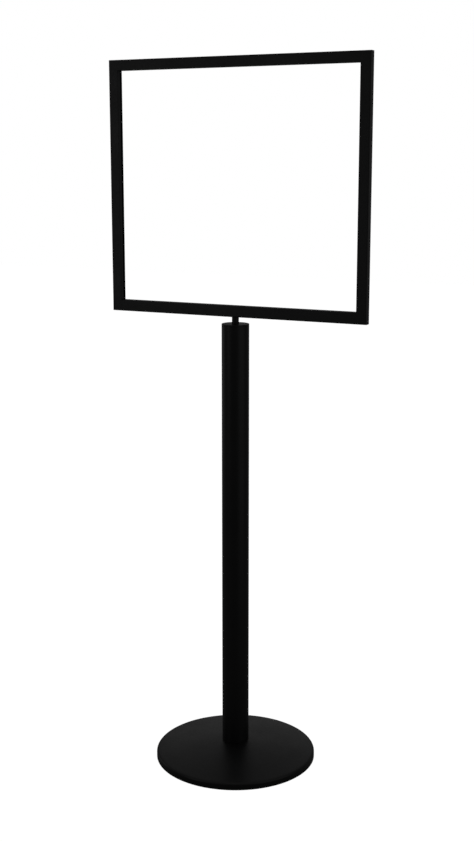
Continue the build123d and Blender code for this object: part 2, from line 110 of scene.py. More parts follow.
class StandSizes(bpy.types.PropertyGroup):
    """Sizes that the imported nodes' boxes don't give."""

    round_steps: IntProperty(
        name="Facets round a turned piece", description="How many steps the large round pieces are spun in",
        default=192, min=48, max=256)
    small_steps: IntProperty(
        name="Facets round a small piece", description="How many steps the small round pieces are spun in",
        default=96, min=24, max=128)
    rim_height: FloatProperty(
        name="Rim height", description="Height of the cover's skirt, up to the corner where the dome starts",
        subtype="DISTANCE", default=16.5 * MM)
    rim_radius: FloatProperty(
        name="Rim radius", description="Outside radius of the cover's rim",
        subtype="DISTANCE", default=6.0 * MM)
    cover_sheet: FloatProperty(
        name="Cover sheet", description="Thickness of the pressed cover",
        subtype="DISTANCE", default=2.0 * MM)
    dome_bulge: FloatProperty(
        name="Dome bulge", description="How far the dome stands above a straight cone, halfway up",
        subtype="DISTANCE", default=2.5 * MM)
    seat_margin: FloatProperty(
        name="Seat margin", description="Flat seat on the cover, beyond the post",
        subtype="DISTANCE", default=1.0 * MM)
    weight_thickness: FloatProperty(
        name="Weight thickness", description="Thickness of the cast weight's disc",
        subtype="DISTANCE", default=12.0 * MM)
    weight_chamfer: FloatProperty(
        name="Weight chamfer", description="Chamfer round the top of the weight's disc",
        subtype="DISTANCE", default=3.0 * MM)
    boss_margin: FloatProperty(
        name="Boss margin", description="How far the weight's boss stays inside the cover's flat seat",
        subtype="DISTANCE", default=0.5 * MM)
    boss_root: FloatProperty(
        name="Boss root", description="Fillet where the weight's boss meets its disc",
        subtype="DISTANCE", default=8.0 * MM)
    cast_edge_radius: FloatProperty(
        name="Cast edge radius", description="Rounding of the weight's corners",
        subtype="DISTANCE", default=0.8 * MM)
    coat_edge_radius: FloatProperty(
        name="Coated edge radius", description="How round the baked coat leaves a sawn or turned edge",
        subtype="DISTANCE", default=0.5 * MM)
    cap_edge_radius: FloatProperty(
        name="Cap edge radius", description="Rounding of the post cap's top edge",
        subtype="DISTANCE", default=0.8 * MM)
    ring_width: FloatProperty(
        name="Floor ring width", description="Width of the rubber ring under the base",
        subtype="DISTANCE", default=11.8 * MM)
    fit_gap: FloatProperty(
        name="Fit gap", description="Room at each side of a piece that sits in a groove",
        subtype="DISTANCE", default=0.1 * MM)
    plug_gap: FloatProperty(
        name="Plug gap", description="Radial room between the foot plug and the tube",
        subtype="DISTANCE", default=0.05 * MM)
    washer_room: FloatProperty(
        name="Room round the washer", description="Radial room between the flat washer and its recess",
        subtype="DISTANCE", default=2.0 * MM)
    bolt_hole_gap: FloatProperty(
        name="Bolt hole gap", description="Radial room between the base bolt and its plain hole",
        subtype="DISTANCE", default=0.25 * MM)
    bolt_diameter: FloatProperty(
        name="Base bolt", description="Thread diameter of the bolt that holds the post down",
        subtype="DISTANCE", default=12.0 * MM)
    bolt_socket: FloatProperty(
        name="Bolt socket", description="Width across the flats of the base bolt's socket",
        subtype="DISTANCE", default=8.0 * MM)
    bolt_socket_depth: FloatProperty(
        name="Bolt socket depth", description="Depth of the base bolt's socket",
        subtype="DISTANCE", default=3.5 * MM)
    shank_diameter: FloatProperty(
        name="Stem shank", description="Diameter of the stem where it turns in the bush",
        subtype="DISTANCE", default=12.0 * MM)
    spigot_diameter: FloatProperty(
        name="Stem spigot", description="Thread diameter of the stem's upper end",
        subtype="DISTANCE", default=10.0 * MM)
    mouth_gap: FloatProperty(
        name="Cap mouth gap", description="Radial room round the stem where it enters the cap",
        subtype="DISTANCE", default=0.3 * MM)
    cap_spigot_length: FloatProperty(
        name="Cap spigot", description="How far the cap's spigot reaches into the tube",
        subtype="DISTANCE", default=20.0 * MM)
    cap_spigot_wall: FloatProperty(
        name="Cap spigot wall", description="Wall of the cap's spigot",
        subtype="DISTANCE", default=4.0 * MM)
    cap_boss_wall: FloatProperty(
        name="Cap boss wall", description="Wall of the cap's boss round the bush",
        subtype="DISTANCE", default=6.0 * MM)
    rail_edge: FloatProperty(
        name="Rail edge", description="Softening of the rails' sawn ends and groove lips under the coat",
        subtype="DISTANCE", default=0.3 * MM)
    screw_setback: FloatProperty(
        name="Screw setback", description="From the frame's outer corner to a key screw, along the rail",
        subtype="DISTANCE", default=30.0 * MM)
    screw_inset: FloatProperty(
        name="Screw inset", description="From the frame's outer edge to a key screw",
        subtype="DISTANCE", default=6.5 * MM)
    screw_diameter: FloatProperty(
        name="Key screws", description="Thread diameter of the screws in the corner keys",
        subtype="DISTANCE", default=5.0 * MM)
    screw_socket: FloatProperty(
        name="Screw socket", description="Width across the flats, and depth, of a key screw's socket",
        subtype="DISTANCE", default=2.5 * MM)


class StandFinishes(bpy.types.PropertyGroup):
    """Colours of the stand's finishes."""

    coat: FloatVectorProperty(
        name="Powder coat", description="Colour of the baked coat on the base, post and frame",
        subtype="COLOR", size=4, min=0, max=1, default=linear("0b0b0c"))
    coat_light: FloatVectorProperty(
        name="Powder coat, thin", description="Slightly greyer colour where the coat went on thinner",
        subtype="COLOR", size=4, min=0, max=1, default=linear("111112"))
    cast_paint: FloatVectorProperty(
        name="Cast iron paint", description="Colour of the matt paint on the cast weight",
        subtype="COLOR", size=4, min=0, max=1, default=linear("1b1b1b"))
    cast_paint_thin: FloatVectorProperty(
        name="Cast iron paint, thin", description="Browner colour where the casting shows through the paint",
        subtype="COLOR", size=4, min=0, max=1, default=linear("2a2724"))
    rubber: FloatVectorProperty(
        name="Rubber", description="Colour of the moulded floor ring",
        subtype="COLOR", size=4, min=0, max=1, default=linear("161616"))
    rubber_bloom: FloatVectorProperty(
        name="Rubber bloom", description="Greyish bloom and dust on the rubber",
        subtype="COLOR", size=4, min=0, max=1, default=linear("262525"))
    zinc: FloatVectorProperty(
        name="Zinc plate", description="Colour of the bright zinc plate on washers, nut and keys",
        subtype="COLOR", size=4, min=0, max=1, default=linear("bfc3c6"))
    zinc_tint: FloatVectorProperty(
        name="Zinc plate, tinted", description="Faint straw tint where the plate was passivated",
        subtype="COLOR", size=4, min=0, max=1, default=linear("b9b5a2"))
    oxide: FloatVectorProperty(
        name="Black oxide", description="Colour of the blackened screws",
        subtype="COLOR", size=4, min=0, max=1, default=linear("1c1c1e"))
    oxide_brown: FloatVectorProperty(
        name="Black oxide, worn", description="Brownish colour where the oxide is thin",
        subtype="COLOR", size=4, min=0, max=1, default=linear("2c2622"))
    steel: FloatVectorProperty(
        name="Turned steel", description="Colour of bare turned steel",
        subtype="COLOR", size=4, min=0, max=1, default=linear("a9a7a2"))
    steel_stain: FloatVectorProperty(
        name="Turned steel, stained", description="Browner colour where oil has stained the bare steel",
        subtype="COLOR", size=4, min=0, max=1, default=linear("8f8a82"))
    nylon: FloatVectorProperty(
        name="Nylon", description="Colour of the natural nylon bush and washer",
        subtype="COLOR", size=4, min=0, max=1, default=linear("e6e0cf"))
    nylon_shade: FloatVectorProperty(
        name="Nylon, shaded", description="Slightly yellower flow marks in the nylon",
        subtype="COLOR", size=4, min=0, max=1, default=linear("dcd3b9"))


class StandStudio(bpy.types.PropertyGroup):
    """The camera, the floor and the lights."""

    camera_azimuth: FloatProperty(
        name="Camera azimuth", description="Angle of the camera round the post from straight in front",
        subtype="ANGLE", default=math.radians(26.82))
    camera_distance: FloatProperty(
        name="Camera distance", description="Level distance from the post's axis to the camera",
        subtype="DISTANCE", default=2.9694)
    camera_height: FloatProperty(
        name="Camera height", description="Height of the camera above the floor",
        subtype="DISTANCE", default=1.4277)
    camera_pitch: FloatProperty(
        name="Camera pitch", description="How far the camera looks down",
        subtype="ANGLE", default=math.radians(11.34))
    camera_swing: FloatProperty(
        name="Camera swing", description="How far the camera looks past the post's axis",
        subtype="ANGLE", default=math.radians(-0.070))
    lens: FloatProperty(
        name="Lens", description="Focal length of the camera in millimetres",
        default=55.64, min=10, max=300)
    floor_size: FloatProperty(
        name="Floor size", description="Width of the square floor",
        subtype="DISTANCE", default=24.0)
    floor_colour: FloatVectorProperty(
        name="Floor colour", description="Colour of the pale floor",
        subtype="COLOR", size=4, min=0, max=1, default=linear("ffffff"))
    backdrop_colour: FloatVectorProperty(
        name="Backdrop colour", description="Colour of the plain space behind the stand",
        subtype="COLOR", size=4, min=0, max=1, default=linear("ffffff"))


# ---- Materials -------------------------------------------------------------------------------

def add_node(tree, kind, settings=None, links=None):
    """Add one node to a tree, with its settings and its incoming links."""
    node = tree.nodes.new(kind)
    for name, value in (settings or {}).items():
        if name in node.inputs:
            node.inputs[name].default_value = value
        else:
            setattr(node, name, value)
    for name, source in (links or {}).items():
        tree.links.new(source, node.inputs[name])
    return node


def start_material(name):
    """An empty node material, with its tree and the object-space coordinates that its patterns read."""
    material = bpy.data.materials.new(name)
    material.use_nodes = True
    tree = material.node_tree
    tree.nodes.clear()
    place = add_node(tree, "ShaderNodeTexCoord").outputs["Object"]
    return material, tree, place


def finish_material(tree, shader):
    """Wire the shader to the material's output."""
    add_node(tree, "ShaderNodeOutputMaterial", links={"Surface": shader.outputs["BSDF"]})


def per_metre(feature_mm):
    """Texture scale, in features per metre, of a feature of that size in millimetres."""
    return 1 / (feature_mm * MM)


def ramp(tree, source, low, high, low_value, high_value):
    """Map a pattern between two levels to two values, clamped."""
    node = add_node(
        tree, "ShaderNodeMapRange",
        {"From Min": low, "From Max": high, "To Min": low_value, "To Max": high_value},
        {"Value": source})
    return node.outputs["Result"]


def two_tone(tree, amount, first, second):
    """Mix two colours by a pattern."""
    node = add_node(tree, "ShaderNodeMix", {"data_type": "RGBA"})
    tree.links.new(amount, node.inputs["Factor"])
    node.inputs[6].default_value = first
    node.inputs[7].default_value = second
    return node.outputs[2]


def powder_coat(finishes):
    """Polyester powder coat, sprayed on steel and baked: satin black with a faint orange peel.

    The peel breaks up the edges of reflections, and the thickness drift makes the gloss uneven."""
    material, tree, place = start_material("powder_coat_satin_black")
    # Orange peel cells are about 1.5 mm across
    peel = add_node(tree, "ShaderNodeTexNoise", {"Scale": per_metre(1.5), "Detail": 1.5, "Roughness": 0.45},
                    {"Vector": place})
    # The spray gun's passes leave the coat thicker and thinner over a hand's width
    drift = add_node(tree, "ShaderNodeTexNoise", {"Scale": per_metre(90), "Detail": 3.0, "Roughness": 0.55},
                     {"Vector": place})
    # Nibs of dust baked into the coat, drawn at 5 mm so that they show
    nibs = add_node(tree, "ShaderNodeTexNoise", {"Scale": per_metre(5), "Detail": 2.0, "Roughness": 0.6},
                    {"Vector": place})
    colour = two_tone(tree, ramp(tree, drift.outputs["Fac"], 0.35, 0.7, 0.0, 1.0),
                      finishes.coat, finishes.coat_light)
    gloss = add_node(tree, "ShaderNodeMath", {"operation": "ADD"}, {
        0: ramp(tree, drift.outputs["Fac"], 0.3, 0.7, 0.33, 0.42),
        1: ramp(tree, nibs.outputs["Fac"], 0.35, 0.7, -0.03, 0.04)})
    wave = add_node(tree, "ShaderNodeBump", {"Strength": 0.25, "Distance": 0.02 * MM},
                    {"Height": peel.outputs["Fac"]})
    relief = add_node(tree, "ShaderNodeBump", {"Strength": 0.2, "Distance": 0.05 * MM},
                      {"Height": nibs.outputs["Fac"], "Normal": wave.outputs["Normal"]})
    shader = add_node(tree, "ShaderNodeBsdfPrincipled", {"IOR": 1.5}, {
        "Base Color": colour, "Roughness": gloss.outputs[0], "Normal": relief.outputs["Normal"]})
    finish_material(tree, shader)
    return material


def painted_cast_iron(finishes):
    """Grey iron, sand cast and dipped in matt paint: a coarse, dull skin with the sand's grain."""
    material, tree, place = start_material("painted_sand_cast_iron")
    # The sand's grain is 0.4 mm and drawn at 1.2 mm so that it shows
    sand = add_node(tree, "ShaderNodeTexNoise", {"Scale": per_metre(1.2), "Detail": 3.0, "Roughness": 0.6},
                    {"Vector": place})
    pools = add_node(tree, "ShaderNodeTexNoise", {"Scale": per_metre(25), "Detail": 3.0}, {"Vector": place})
    colour = two_tone(tree, ramp(tree, pools.outputs["Fac"], 0.45, 0.7, 0.0, 1.0),
                      finishes.cast_paint, finishes.cast_paint_thin)
    relief = add_node(tree, "ShaderNodeBump", {"Strength": 0.6, "Distance": 0.25 * MM},
                      {"Height": sand.outputs["Fac"]})
    shader = add_node(tree, "ShaderNodeBsdfPrincipled", {"IOR": 1.5}, {
        "Base Color": colour, "Normal": relief.outputs["Normal"],
        "Roughness": ramp(tree, pools.outputs["Fac"], 0.3, 0.7, 0.62, 0.78)})
    finish_material(tree, shader)
    return material


def moulded_rubber(finishes):
    """Moulded nitrile rubber: matt near-black with a greyish bloom and a fine grained skin."""
    material, tree, place = start_material("moulded_nitrile_rubber")
    bloom = add_node(tree, "ShaderNodeTexNoise", {"Scale": per_metre(14), "Detail": 4.0, "Roughness": 0.65},
                     {"Vector": place})
    grain = add_node(tree, "ShaderNodeTexNoise", {"Scale": per_metre(0.6), "Detail": 2.0}, {"Vector": place})
    colour = two_tone(tree, ramp(tree, bloom.outputs["Fac"], 0.45, 0.75, 0.0, 1.0),
                      finishes.rubber, finishes.rubber_bloom)
    relief = add_node(tree, "ShaderNodeBump", {"Strength": 0.35, "Distance": 0.08 * MM},
                      {"Height": grain.outputs["Fac"]})
    shader = add_node(tree, "ShaderNodeBsdfPrincipled", {"IOR": 1.52}, {
        "Base Color": colour, "Normal": relief.outputs["Normal"],
        "Roughness": ramp(tree, bloom.outputs["Fac"], 0.4, 0.7, 0.68, 0.82)})
    finish_material(tree, shader)
    return material


def zinc_plate(finishes):
    """Bright zinc, barrel plated on pressed steel: soft silver with faint straw patches and small dings."""
    material, tree, place = start_material("bright_zinc_plate")
    patch = add_node(tree, "ShaderNodeTexNoise", {"Scale": per_metre(6), "Detail": 3.0}, {"Vector": place})
    dings = add_node(tree, "ShaderNodeTexVoronoi", {"Scale": per_metre(1.8)}, {"Vector": place})
    colour = two_tone(tree, ramp(tree, patch.outputs["Fac"], 0.4, 0.7, 0.0, 1.0),
                      finishes.zinc, finishes.zinc_tint)
    relief = add_node(tree, "ShaderNodeBump", {"Strength": 0.25, "Distance": 0.03 * MM},
                      {"Height": dings.outputs["Distance"]})
    shader = add_node(tree, "ShaderNodeBsdfPrincipled", {"Metallic": 1.0}, {
        "Base Color": colour, "Normal": relief.outputs["Normal"],
        "Roughness": ramp(tree, patch.outputs["Fac"], 0.35, 0.7, 0.26, 0.4)})
    finish_material(tree, shader)
    return material


def black_oxide(finishes):
    """Black oxide on machined screws, oiled: dark and slightly brown where the tool wore it thin."""
    material, tree, place = start_material("black_oxide_steel")
    wear = add_node(tree, "ShaderNodeTexNoise", {"Scale": per_metre(3), "Detail": 4.0, "Roughness": 0.6},
                    {"Vector": place})
    colour = two_tone(tree, ramp(tree, wear.outputs["Fac"], 0.5, 0.75, 0.0, 1.0),
                      finishes.oxide, finishes.oxide_brown)
    relief = add_node(tree, "ShaderNodeBump", {"Strength": 0.2, "Distance": 0.03 * MM},
                      {"Height": wear.outputs["Fac"]})
    shader = add_node(tree, "ShaderNodeBsdfPrincipled", {"Metallic": 0.85}, {
        "Base Color": colour, "Normal": relief.outputs["Normal"],
        "Roughness": ramp(tree, wear.outputs["Fac"], 0.3, 0.7, 0.34, 0.5)})
    finish_material(tree, shader)
    return material


def turned_steel(finishes):
    """Bare steel, faced on a lathe: fine rings about the post's axis catch the light in streaks."""
    material, tree, place = start_material("lathe_turned_steel")
    # The feed marks are 0.2 mm apart and drawn at 0.8 mm so that they show
    rings = add_node(tree, "ShaderNodeTexWave", {
        "wave_type": "RINGS", "rings_direction": "Z", "Scale": per_metre(0.8) / 20, "Distortion": 0.4},
        {"Vector": place})
    stain = add_node(tree, "ShaderNodeTexNoise", {"Scale": per_metre(9), "Detail": 3.0}, {"Vector": place})
    relief = add_node(tree, "ShaderNodeBump", {"Strength": 0.3, "Distance": 0.02 * MM},
                      {"Height": rings.outputs["Fac"]})
    colour = two_tone(tree, ramp(tree, stain.outputs["Fac"], 0.4, 0.75, 0.0, 1.0),
                      finishes.steel, finishes.steel_stain)
    shader = add_node(tree, "ShaderNodeBsdfPrincipled", {"Metallic": 1.0}, {
        "Base Color": colour, "Normal": relief.outputs["Normal"],
        "Roughness": ramp(tree, rings.outputs["Fac"], 0.0, 1.0, 0.26, 0.38)})
    finish_material(tree, shader)
    return material


def moulded_nylon(finishes):
    """Natural nylon, injection moulded: milky off-white with soft flow marks and a dull skin."""
    material, tree, place = start_material("moulded_nylon")
    flow = add_node(tree, "ShaderNodeTexNoise", {"Scale": per_metre(5), "Detail": 2.0, "Distortion": 1.2},
                    {"Vector": place})
    colour = two_tone(tree, ramp(tree, flow.outputs["Fac"], 0.35, 0.7, 0.0, 1.0),
                      finishes.nylon, finishes.nylon_shade)
    relief = add_node(tree, "ShaderNodeBump", {"Strength": 0.15, "Distance": 0.03 * MM},
                      {"Height": flow.outputs["Fac"]})
    shader = add_node(tree, "ShaderNodeBsdfPrincipled", {
        "IOR": 1.53, "Subsurface Weight": 0.15, "Subsurface Scale": 0.5 * MM}, {
        "Base Color": colour, "Normal": relief.outputs["Normal"],
        "Roughness": ramp(tree, flow.outputs["Fac"], 0.3, 0.7, 0.4, 0.5)})
    finish_material(tree, shader)
    return material


MATERIALS = {}


# ---- Modelling helpers -------------------------------------------------------------------------

def clear_selection():
    """Leave edit mode and deselect every object."""
    if bpy.context.mode != "OBJECT":
        bpy.ops.object.mode_set(mode="OBJECT")
    bpy.ops.object.select_all(action="DESELECT")


def edit_mesh():
    """The mesh being edited, with nothing selected."""
    bpy.ops.mesh.select_all(action="DESELECT")
    mesh = bmesh.from_edit_mesh(bpy.context.object.data)
    mesh.verts.ensure_lookup_table()
    return mesh


def pick_vertex(place):
    """Select the one vertex of the edited mesh that is nearest to place."""
    mesh = edit_mesh()
    nearest = min(mesh.verts, key=lambda v: (v.co - place).length_squared)
    nearest.select = True
    mesh.select_flush(True)
    bmesh.update_edit_mesh(bpy.context.object.data)


def turned(name, outline, steps):
    """A piece turned on a lathe about the post's axis.

    outline is a closed run of (radius, height, rounding) corners."""
    clear_selection()
    bpy.ops.mesh.primitive_circle_add(vertices=len(outline), radius=1.0, fill_type="NOTHING")
    piece = bpy.context.object
    piece.name = name
    piece.data.name = name
    corners = [Vector((radius, 0, height)) for radius, height, _ in outline]
    bpy.ops.object.mode_set(mode="EDIT")
    for index, corner in enumerate(corners):
        mesh = edit_mesh()
        mesh.verts[index].select = True
        start = mesh.verts[index].co.copy()
        bmesh.update_edit_mesh(piece.data)
        bpy.ops.transform.translate(value=corner - start)
    for (_, _, rounding), corner in zip(outline, corners):
        if rounding > 0:
            pick_vertex(corner)
            bpy.ops.mesh.bevel(offset=rounding, affect="VERTICES", segments=ROUND_SEGMENTS, profile=0.5)
    bpy.ops.mesh.select_all(action="SELECT")
    bpy.ops.mesh.spin(steps=steps, angle=math.tau, center=(0, 0, 0), axis=(0, 0, 1))
    close_shell()
    bpy.ops.object.mode_set(mode="OBJECT")
    smooth_rounds(piece)
    return piece


def smooth_rounds(piece):
    """Shade the piece's rounds smooth, keep its corners sharp and leave its flats flat."""
    bpy.ops.object.shade_smooth_by_angle(angle=SHARP_ANGLE)
    flats = piece.modifiers.new("flats", "WEIGHTED_NORMAL")
    flats.keep_sharp = True
    bpy.ops.object.modifier_apply(modifier=flats.name)


def thread_rings(crest, thread, start, end):
    """The corners of a screw thread's section, from start up to end, drawn as rings.

    thread is the thread's depth and pitch."""
    depth, pitch = thread
    corners = []
    for turn in range(int((end - start) / pitch)):
        corners.append((crest - depth, start + (turn + 0.5) * pitch, 0))
        corners.append((crest, start + (turn + 1) * pitch, 0))
    return corners


def cut_socket(piece, flats, floor_z, depth):
    """Cut a hexagon socket upwards into the piece, on the post's axis."""
    clear_selection()
    bpy.ops.mesh.primitive_cylinder_add(
        vertices=6, radius=flats / math.sqrt(3), depth=2 * depth, location=(0, 0, floor_z))
    key = bpy.context.object
    clear_selection()
    piece.select_set(True)
    bpy.context.view_layer.objects.active = piece
    cut = piece.modifiers.new("socket", "BOOLEAN")
    cut.operation = "DIFFERENCE"
    cut.object = key
    bpy.ops.object.modifier_apply(modifier=cut.name)
    bpy.data.objects.remove(key)
    smooth_rounds(piece)


def close_shell():
    """Merge doubles, drop slivers and turn the edited mesh's faces outwards."""
    bpy.ops.mesh.select_all(action="SELECT")
    bpy.ops.mesh.remove_doubles(threshold=MERGE)
    bpy.ops.mesh.dissolve_degenerate(threshold=MERGE)
    bpy.ops.mesh.select_all(action="SELECT")
    bpy.ops.mesh.normals_make_consistent(inside=False)


def finish_piece(piece, node, body, material_name):
    """Coat a piece, let it stand for its CAD node and make it ride on its body."""
    piece.data.materials.clear()
    piece.data.materials.append(MATERIALS[material_name])
    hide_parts(node)
    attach(piece, body)


def copy_of_node(node, name):
    """A merged copy of a CAD node's mesh, in edit mode, ready to be worked on."""
    clear_selection()
    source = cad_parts[node]
    piece = bpy.data.objects.new(name, source.data.copy())
    piece.data.name = name
    bpy.context.scene.collection.objects.link(piece)
    bpy.context.view_layer.objects.active = piece
    piece.select_set(True)
    bpy.ops.object.mode_set(mode="EDIT")
    bpy.ops.mesh.customdata_custom_splitnormals_clear()
    bpy.ops.mesh.select_all(action="SELECT")
    bpy.ops.mesh.remove_doubles(threshold=MERGE)
    bpy.ops.mesh.dissolve_limited(angle_limit=FLAT_ANGLE)
    return piece


def softened(name, node, width):
    """A copy of a CAD node with every corner broken by a small two-step round."""
    piece = copy_of_node(node, name)
    bpy.ops.object.mode_set(mode="OBJECT")
    edges = piece.modifiers.new("edges", "BEVEL")
    edges.limit_method = "ANGLE"
    edges.angle_limit = SHARP_ANGLE
    edges.width = width
    edges.segments = 2
    edges.miter_outer = "MITER_ARC"
    bpy.ops.object.modifier_apply(modifier=edges.name)
    bpy.ops.object.mode_set(mode="EDIT")
    close_shell()
    bpy.ops.object.mode_set(mode="OBJECT")
    smooth_rounds(piece)
    return piece


def dome_run(seat, seat_z, rim, rim_z, bulge):
    """Points down a shallow dome's section, from the edge of its flat seat to just short of its rim."""
    top = Vector((seat, 0, seat_z))
    fall = Vector((rim, 0, rim_z)) - top
    outwards = Vector((-fall.z, 0, fall.x)).normalized()
    points = []
    for step in range(DOME_STEPS):
        share = step / DOME_STEPS
        point = top + share * fall + 4 * share * (1 - share) * bulge * outwards
        points.append((point.x, point.z, 0))
    return points


def ring_piece(node, name, bore, edge, material_name, body="stand"):
    """Turn a plain ring with rounded edges in place of a round CAD node."""
    low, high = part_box(node)
    piece = turned(name, [
        (bore, low.z, edge),
        (high.x, low.z, edge),
        (high.x, high.z, edge),
        (bore, high.z, edge),
    ], bpy.context.scene.stand_sizes.small_steps)
    finish_piece(piece, node, body, material_name)


def turn_cap(sizes):
    """The post's cap: a flange, a spigot in the tube and a boss round the bush."""
    low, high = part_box("post_top_cap")
    tube_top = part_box("post_tube")[1].z
    spigot = top_radius("post_foot_plug")
    bush_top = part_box("swivel_bush")[1].z
    bush = top_radius("swivel_bush") + PRESS_ROOM
    boss = bush + sizes.cap_boss_wall
    mouth = top_radius("stem") + sizes.mouth_gap
    cap = turned("post_cap_turned", [
        (mouth, high.z, 0.4 * MM),
        (high.x, high.z, sizes.cap_edge_radius),
        (high.x, tube_top, 0.3 * MM),
        (spigot, tube_top, 0),
        (spigot, tube_top - sizes.cap_spigot_length, 0.6 * MM),
        (spigot - sizes.cap_spigot_wall, tube_top - sizes.cap_spigot_length, 0.4 * MM),
        (spigot - sizes.cap_spigot_wall, tube_top, 1.0 * MM),
        (boss, tube_top, 1.0 * MM),
        (boss, low.z, 0.6 * MM),
        (bush, low.z, 0.3 * MM),
        (bush, bush_top, 0),
        (mouth, bush_top, 0),
    ], sizes.round_steps)
    finish_piece(cap, "post_top_cap", "stand", "coat")


def turn_stem(sizes):
    """The stem: it turns in the bush on its shank and screws into the frame's plate."""
    low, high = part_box("stem")
    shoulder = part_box("thrust_washer")[1].z
    frame_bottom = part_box("frame_bottom_rail")[0].z
    nut_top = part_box("stem_lock_nut")[1].z
    plate_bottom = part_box("rail_nut_plate")[0].z
    shank = sizes.shank_diameter / 2
    spigot = sizes.spigot_diameter / 2
    tip = M12_THREAD[0]
    stem = turned("swivel_stem_turned", [
        (0, low.z, 0),
        (shank - tip, low.z, 0),
        (shank, low.z + tip, 0),
        *thread_rings(shank, M12_THREAD, low.z + tip, nut_top),
        (shank, shoulder, 0),
        (high.x, shoulder, 0.2 * MM),
        (high.x, frame_bottom, 0.5 * MM),
        (spigot, frame_bottom, 0),
        (spigot, plate_bottom, 0),
        *thread_rings(spigot, M10_THREAD, plate_bottom, high.z),
        (spigot - M10_THREAD[0], high.z, 0),
        (0, high.z, 0),
    ], sizes.small_steps)
    finish_piece(stem, "stem", "sign_frame", "coat")


def drive_key_screws(sizes):
    """Eight socket grub screws, two to each corner key, flush in the frame's back."""
    low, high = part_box("corner_grub_screws")
    frame_low, frame_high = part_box("frame_left_rail")
    frame_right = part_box("frame_right_rail")[1].x
    radius = sizes.screw_diameter / 2
    length = high.y - low.y
    lead = 0.3 * MM
    pattern = turned("key_screws", [
        (0, lead, 0),
        (sizes.screw_socket / 2, lead, 0),
        (sizes.screw_socket / 2 + 2 * lead, 0, 0),
        (radius - lead, 0, 0),
        (radius, lead, 0),
        *thread_rings(radius, M5_THREAD, lead, length - 4 * lead),
        (radius - 3 * lead, length, 0),
        (0, length, 0),
    ], SCREW_STEPS)
    cut_socket(pattern, sizes.screw_socket, 0, sizes.screw_socket)
    screws = []
    level_leg = (sizes.screw_setback, sizes.screw_inset)
    upright_leg = (sizes.screw_inset, sizes.screw_setback)
    for side, x in ((1, frame_low.x), (-1, frame_right)):
        for inward, z in ((1, frame_low.z), (-1, frame_high.z)):
            for along, across in (level_leg, upright_leg):
                clear_selection()
                screw = pattern.copy()
                screw.data = pattern.data.copy()
                bpy.context.scene.collection.objects.link(screw)
                bpy.context.view_layer.objects.active = screw
                screw.select_set(True)
                bpy.ops.object.mode_set(mode="EDIT")
                bpy.ops.mesh.select_all(action="SELECT")
                bpy.ops.transform.rotate(
                    value=math.pi / 2, orient_axis="X", orient_type="GLOBAL", center_override=(0, 0, 0))
                bpy.ops.transform.translate(value=(x + side * along, high.y, z + inward * across))
                bpy.ops.object.mode_set(mode="OBJECT")
                screws.append(screw)
    clear_selection()
    for screw in screws:
        screw.select_set(True)
    bpy.context.view_layer.objects.active = screws[0]
    bpy.ops.object.join()
    joined = bpy.context.object
    mesh = pattern.data
    bpy.data.objects.remove(pattern)
    bpy.data.meshes.remove(mesh)
    joined.name = "key_screws"
    joined.data.name = "key_screws"
    return joined


# ---- Operators: one for each piece or group ----------------------------------------------------

class SIGNSTAND_OT_materials(bpy.types.Operator):
    """Make the stand's finishes"""

    bl_idname = "signstand.materials"
    bl_label = "Make finishes"

    def execute(self, context):
        finishes = context.scene.stand_finishes
        MATERIALS["coat"] = powder_coat(finishes)
        MATERIALS["cast"] = painted_cast_iron(finishes)
        MATERIALS["rubber"] = moulded_rubber(finishes)
        MATERIALS["zinc"] = zinc_plate(finishes)
        MATERIALS["oxide"] = black_oxide(finishes)
        MATERIALS["steel"] = turned_steel(finishes)
        MATERIALS["nylon"] = moulded_nylon(finishes)
        return {"FINISHED"}


class SIGNSTAND_OT_base_cover(bpy.types.Operator):
    """Press the domed sheet cover with its rounded rim and the post's flat seat"""

    bl_idname = "signstand.base_cover"
    bl_label = "Base cover"

    def execute(self, context):
        sizes = context.scene.stand_sizes
        low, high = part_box("base_cover")
        sheet = sizes.cover_sheet
        seat = top_radius("post_tube") + sizes.seat_margin
        corner = low.z + sizes.rim_height
        hole = sizes.bolt_diameter / 2 + sizes.bolt_hole_gap
        outside = dome_run(seat, high.z, high.x, corner, sizes.dome_bulge)
        inside = dome_run(seat, high.z - sheet, high.x - sheet, corner - sheet, sizes.dome_bulge)
        # The rim turns through less than a right angle, so its round starts nearer to the corner
        slope = math.atan2(outside[-1][1] - corner, high.x - outside[-1][0])
        reach = math.tan((math.pi / 2 - slope) / 2)
        cover = turned("base_cover_pressed", [
            (hole, high.z, 0),
            *outside,
            (high.x, corner, sizes.rim_radius * reach),
            (high.x, low.z, sizes.coat_edge_radius),
            (high.x - sheet, low.z, sizes.coat_edge_radius),
            (high.x - sheet, corner - sheet, (sizes.rim_radius - sheet) * reach),
            *reversed(inside),
            (hole, high.z - sheet, 0),
        ], sizes.round_steps)
        finish_piece(cover, "base_cover", "stand", "coat")
        return {"FINISHED"}


